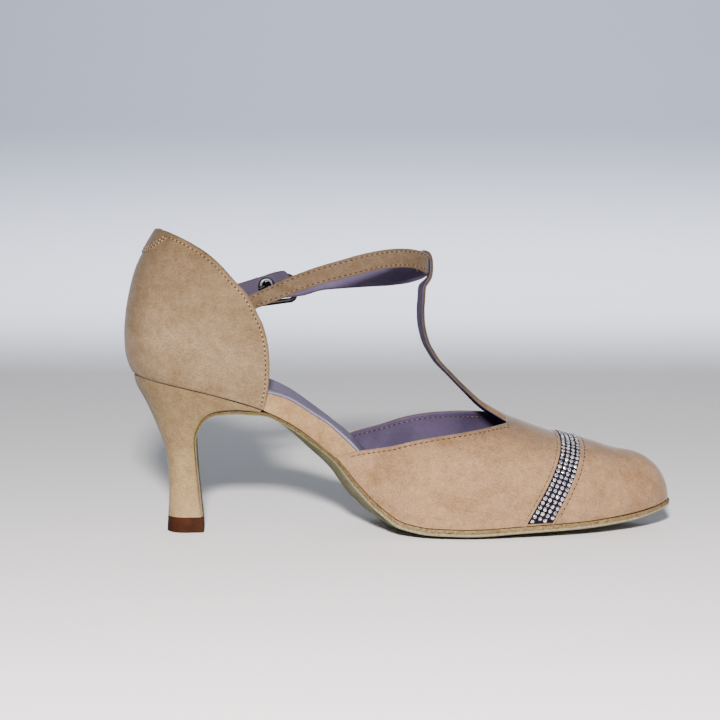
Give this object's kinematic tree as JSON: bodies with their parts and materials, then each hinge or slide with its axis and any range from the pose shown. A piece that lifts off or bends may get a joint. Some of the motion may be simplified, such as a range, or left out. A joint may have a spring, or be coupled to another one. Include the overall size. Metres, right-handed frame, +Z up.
{
  "type": "ballroom dance shoe",
  "caption": "Left ballroom dance shoe with a closed toe, open waist, T-strap, ankle strap with buckle, high flared heel and a sparkling band across the toe.",
  "frame": {"origin": "on the floor under the middle of the shoe's bounding box", "axes": "+X to the toe, +Y to the outer side of the left foot, +Z up"},
  "size_m": [0.2356, 0.0762, 0.1297],
  "materials": {
    "suede": "beige suede",
    "lining": "smooth lavender lining leather",
    "sole_leather": "raw edge, chrome suede tread",
    "top_piece": "brown",
    "band": "black with clear crystals",
    "dark_metal": "dark gunmetal",
    "grey_metal": "grey"
  },
  "bodies": {
    "root": {"outsole": "sole_leather", "heel": "suede", "heel_top_piece": "top_piece", "insole_board": "suede", "sock": "lining", "vamp": "suede", "counter": "suede", "back_tab": "suede", "crystal_band": "band", "ankle_strap": "suede", "buckle_strap": "lining", "buckle_frame": "dark_metal", "buckle_prong": "dark_metal", "strap_grommet": "grey_metal"}
  },
  "joints": []
}
